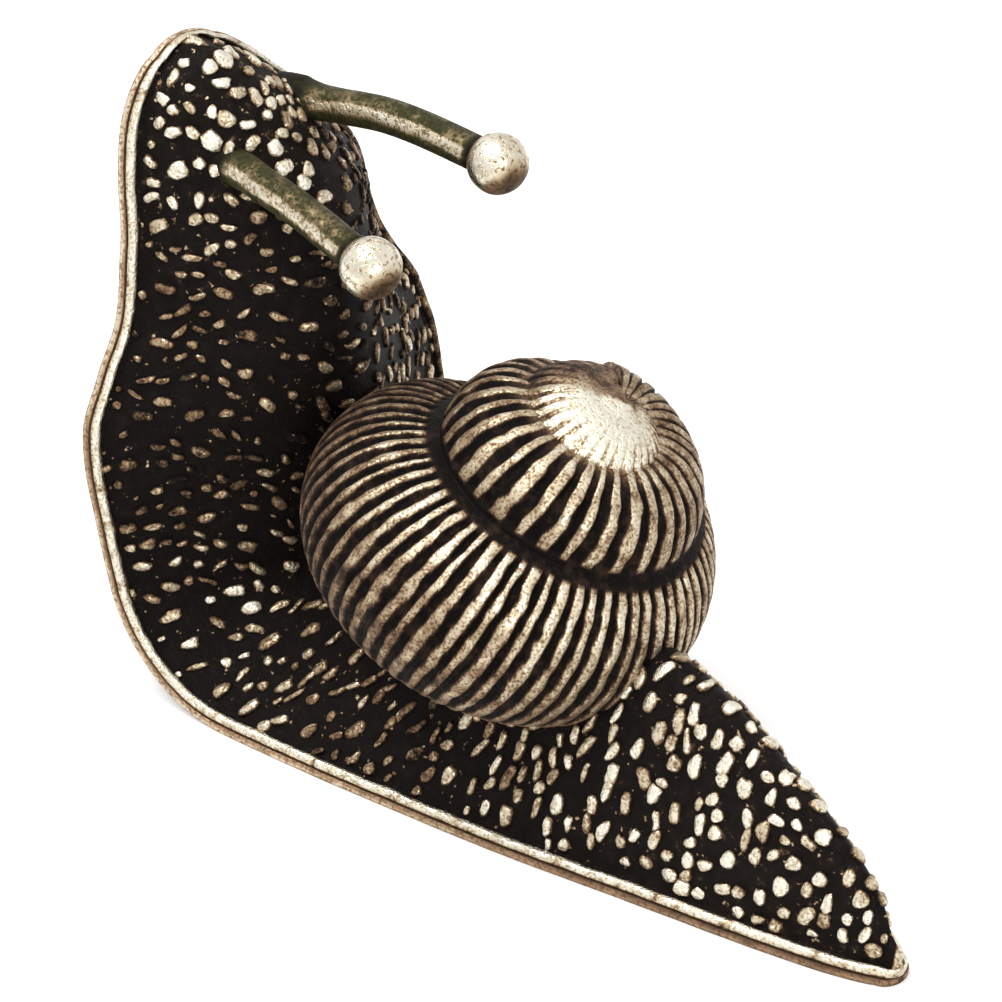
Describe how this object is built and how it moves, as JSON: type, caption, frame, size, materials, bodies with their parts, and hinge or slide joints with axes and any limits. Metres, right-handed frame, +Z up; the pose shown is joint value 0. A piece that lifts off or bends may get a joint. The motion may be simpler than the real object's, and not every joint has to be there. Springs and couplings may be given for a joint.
{
  "type": "snail figurine",
  "caption": "Reared-up snail ornament: a pebbled body on a bent sole plate, a ribbed coiled shell seated on its back and ball-ended tentacles let into the head.",
  "frame": {"origin": "on the flat resting face of the sole plate, on the middle line of the foot", "axes": "+X from head to tail, +Y to the snail's right, +Z up; the sole rests on z = 0"},
  "size_m": [0.0471, 0.0228, 0.0321],
  "materials": {
    "rim_brass": "rubbed antique",
    "body_patina": "blackened, high spots rubbed bright",
    "shell_patina": "blackened, ribs rubbed bright",
    "pin_brass": "as turned",
    "rod_patina": "dark olive patina",
    "bead_brass": "rubbed bright"
  },
  "bodies": {
    "root": {"sole_plate": "rim_brass", "body": "body_patina", "shell": "shell_patina", "front_shell_pin": "pin_brass", "rear_shell_pin": "pin_brass", "left_tentacle": "rod_patina", "right_tentacle": "rod_patina", "left_eye": "bead_brass", "right_eye": "bead_brass"}
  },
  "joints": []
}
